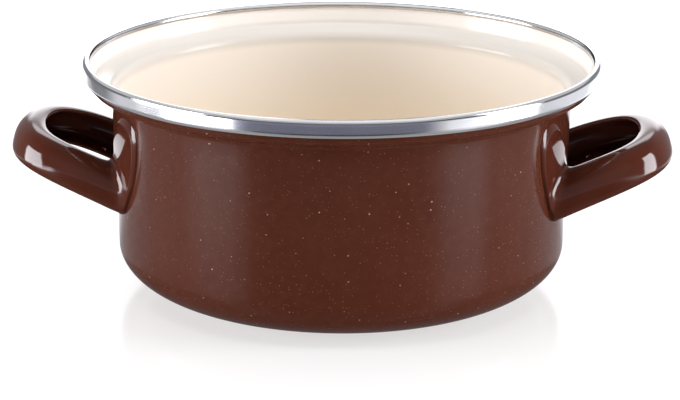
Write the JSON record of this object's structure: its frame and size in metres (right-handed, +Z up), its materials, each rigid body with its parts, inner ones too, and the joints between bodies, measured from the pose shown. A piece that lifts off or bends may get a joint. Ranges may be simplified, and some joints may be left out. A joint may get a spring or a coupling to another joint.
{
  "type": "cooking pot",
  "caption": "Round open casserole of enamelled sheet steel with a speckled brown outside, cream inside, polished steel rim band and loop handles welded to the wall.",
  "frame": {"origin": "centre of the flat underside of the base, on the surface the pot stands on", "axes": "+X from the pot's axis through the right handle, +Y to the back, +Z up along the pot's axis"},
  "size_m": [0.2996, 0.232, 0.1054],
  "materials": {
    "brown_enamel": "glossy vitreous enamel, brown with fine pale speckles",
    "core_steel": "bare deep-drawn sheet under the enamel",
    "cream_enamel": "glossy vitreous enamel, cream",
    "stainless": "polished stainless steel",
    "handle_enamel": "pressed steel strap with glossy plain brown enamel"
  },
  "bodies": {
    "root": {"outer_enamel": "brown_enamel", "steel_shell": "core_steel", "inner_enamel": "cream_enamel", "rim_band": "stainless", "handle_left": "handle_enamel", "handle_right": "handle_enamel"}
  },
  "joints": []
}
